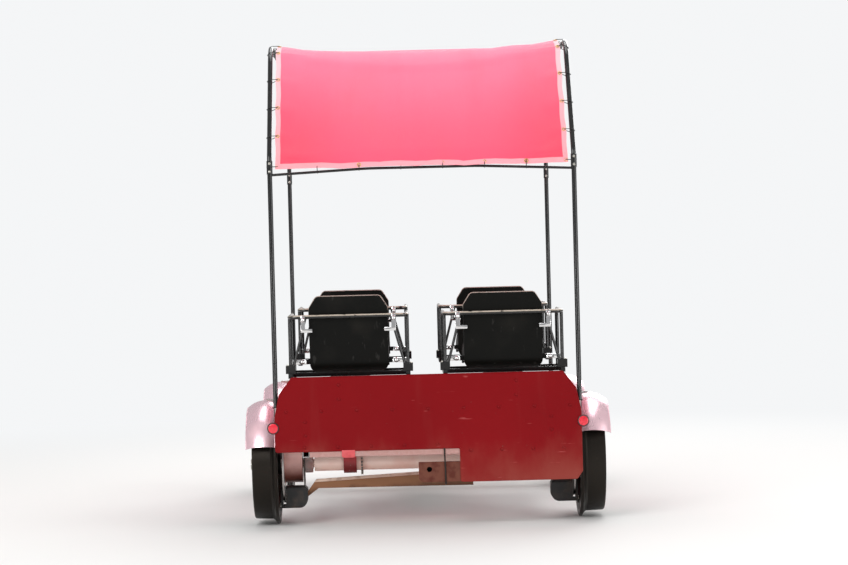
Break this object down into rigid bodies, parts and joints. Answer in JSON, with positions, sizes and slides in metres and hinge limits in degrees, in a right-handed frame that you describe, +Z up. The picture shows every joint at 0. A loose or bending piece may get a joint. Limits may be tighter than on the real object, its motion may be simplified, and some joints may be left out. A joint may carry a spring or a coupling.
{
  "type": "four-seat pedal rail car",
  "caption": "Pedal-driven rail car with two rows of bucket seats, a fabric roof on bent tube posts, a red rear panel and flanged wheels under polished fenders.",
  "frame": {"origin": "on the floor under the wheel flanges, at the middle of the car's length and width", "axes": "+X to the car's right, +Y forward along the track, +Z up"},
  "size_m": [1.66, 2.47, 2.2234],
  "materials": {
    "frame_paint": "hot-dip galvanised steel, dulled and dusty",
    "collar_paint": "dark red paint on a forged collar",
    "panel_paint": "dark red paint, slightly faded",
    "tube_paint": "black gloss tube",
    "polished_steel": "polished stainless sheet and tube",
    "wheel_black": "black with worn running faces",
    "brake_black": "black castings and discs",
    "seat_plastic": "moulded black plastic",
    "canopy_fabric": "coated red awning cloth",
    "drive_steel": "oiled chain and crank steel",
    "pedal_plastic": "black resin",
    "reflector_red": "moulded red lens",
    "floor_plate": "tread plate"
  },
  "bodies": {
    "chassis": {"brake_calipers": "brake_black", "brake_cross_bar": "polished_steel", "brake_lever": "tube_paint", "canopy_cross_bars": "tube_paint", "canopy_fabric": "canopy_fabric", "crank_beams": "frame_paint", "crank_brackets": "frame_paint", "cross_beams": "frame_paint", "end_beams": "frame_paint", "fender_stays": "frame_paint", "floor_plate": "floor_plate", "front_axle_bearings": "frame_paint", "front_chains": "drive_steel", "front_fenders": "polished_steel", "front_left_seat": "seat_plastic", "front_left_seat_frame": "tube_paint", "front_outriggers": "frame_paint", "front_panel": "panel_paint", "front_posts": "tube_paint", "front_right_seat": "seat_plastic", "front_right_seat_frame": "tube_paint", "front_tow_plate": "frame_paint", "left_roof_tube": "tube_paint", "left_side_rail": "frame_paint", "rear_axle_bearings": "frame_paint", "rear_chains": "drive_steel", "rear_fenders": "polished_steel", "rear_left_seat": "seat_plastic", "rear_left_seat_frame": "tube_paint", "rear_panel": "panel_paint", "rear_panel_stays": "frame_paint", "rear_posts": "tube_paint", "rear_reflectors": "reflector_red", "rear_right_seat": "seat_plastic", "rear_right_seat_frame": "tube_paint", "rear_shoulder_beam": "frame_paint", "rear_tow_plate": "frame_paint", "rear_uprights": "frame_paint", "right_roof_tube": "tube_paint", "right_side_rail": "frame_paint", "seat_posts": "frame_paint"},
    "rear_wheelset": {"rear_axle": "polished_steel", "rear_left_wheel": "wheel_black", "rear_right_wheel": "wheel_black", "rear_brake_discs": "polished_steel", "rear_axle_collars": "collar_paint"},
    "front_wheelset": {"front_axle": "polished_steel", "front_left_wheel": "wheel_black", "front_right_wheel": "wheel_black"},
    "rear_left_crankset": {"rear_left_crank": "drive_steel", "rear_left_pedals": "pedal_plastic"},
    "rear_right_crankset": {"rear_right_crank": "drive_steel", "rear_right_pedals": "pedal_plastic"},
    "front_left_crankset": {"front_left_crank": "drive_steel", "front_left_pedals": "pedal_plastic"},
    "front_right_crankset": {"front_right_crank": "drive_steel", "front_right_pedals": "pedal_plastic"}
  },
  "joints": [
    {"name": "rear_wheelset_roll", "type": "hinge", "parent": "chassis", "child": "rear_wheelset", "pos_m": [0, -0.89, 0.276], "axis": [1, 0, 0], "continuous": true},
    {"name": "front_wheelset_roll", "type": "hinge", "parent": "chassis", "child": "front_wheelset", "pos_m": [0, 0.64, 0.276], "axis": [1, 0, 0], "continuous": true},
    {"name": "rear_left_crank_turn", "type": "hinge", "parent": "chassis", "child": "rear_left_crankset", "pos_m": [-0.35, -0.21, 0.43], "axis": [1, 0, 0], "continuous": true},
    {"name": "rear_right_crank_turn", "type": "hinge", "parent": "chassis", "child": "rear_right_crankset", "pos_m": [0.35, -0.21, 0.43], "axis": [1, 0, 0], "continuous": true},
    {"name": "front_left_crank_turn", "type": "hinge", "parent": "chassis", "child": "front_left_crankset", "pos_m": [-0.35, 0.965, 0.43], "axis": [1, 0, 0], "continuous": true},
    {"name": "front_right_crank_turn", "type": "hinge", "parent": "chassis", "child": "front_right_crankset", "pos_m": [0.35, 0.965, 0.43], "axis": [1, 0, 0], "continuous": true}
  ]
}
